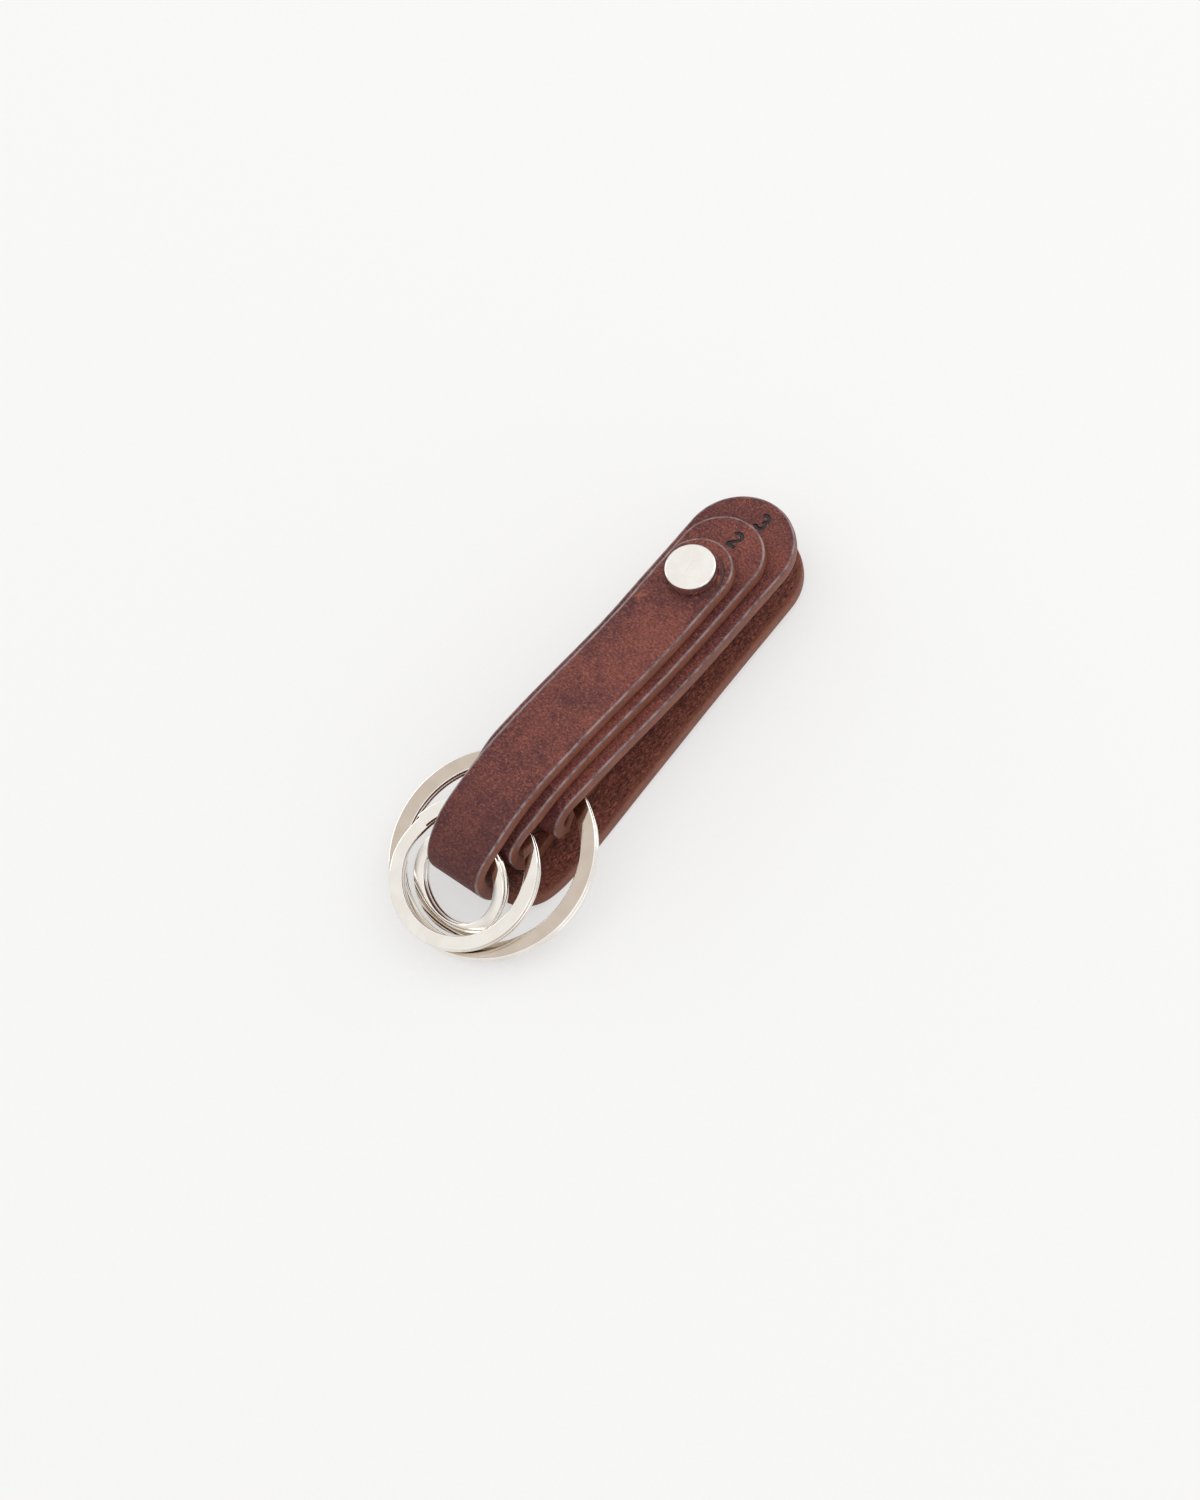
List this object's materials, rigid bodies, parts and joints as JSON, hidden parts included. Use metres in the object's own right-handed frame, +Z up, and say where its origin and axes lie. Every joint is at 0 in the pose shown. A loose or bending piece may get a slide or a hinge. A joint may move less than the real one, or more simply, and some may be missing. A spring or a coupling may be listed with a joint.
{
  "type": "strap key holder",
  "caption": "Leather key holder: a base tongue with graded folded straps held by a flat screw stud, each strap carrying a flat split ring for keys.",
  "frame": {"origin": "on the table under the middle of the stud", "axes": "+X along the straps towards their round ends, +Z up from the table towards the stud's cap, +Y to the left seen from the ring end"},
  "size_m": [0.0912, 0.035, 0.0194],
  "materials": {
    "leather_base": "grain outside, rough inside",
    "strap_1": "pebbled grain",
    "strap_2": "pebbled grain",
    "strap_3": "pebbled grain",
    "stud_post": "polished nickel",
    "stud_cap": "polished nickel",
    "ring_1": "polished nickel",
    "ring_2": "polished nickel",
    "ring_3": "polished nickel"
  },
  "bodies": {
    "holder": {"leather_base": "leather_base", "strap_2": "strap_2", "strap_3": "strap_3", "stud_post": "stud_post"},
    "flap": {"strap_1": "strap_1"},
    "cap": {"stud_cap": "stud_cap"},
    "small_ring": {"ring_1": "ring_1"},
    "middle_ring": {"ring_2": "ring_2"},
    "large_ring": {"ring_3": "ring_3"}
  },
  "joints": [
    {"name": "strap_1_lift", "type": "hinge", "parent": "holder", "child": "flap", "pos_m": [-0.0606, 0, 0.0105], "axis": [0, -1, 0], "range_deg": [0, 100]},
    {"name": "cap_turn", "type": "hinge", "parent": "flap", "child": "cap", "pos_m": [0, 0, 0.017], "axis": [0, 0, 1], "continuous": true},
    {"name": "ring_1_turn", "type": "hinge", "parent": "holder", "child": "small_ring", "pos_m": [-0.06088, -0.0004, 0.00743], "axis": [-0.7193, 0, 0.6947], "continuous": true},
    {"name": "ring_2_turn", "type": "hinge", "parent": "holder", "child": "middle_ring", "pos_m": [-0.05944, 0, 0.00745], "axis": [-0.309, 0, 0.9511], "continuous": true},
    {"name": "ring_3_turn", "type": "hinge", "parent": "holder", "child": "large_ring", "pos_m": [-0.0538, -0.0008, 0.00583], "axis": [-0.2588, 0, 0.9659], "continuous": true}
  ]
}
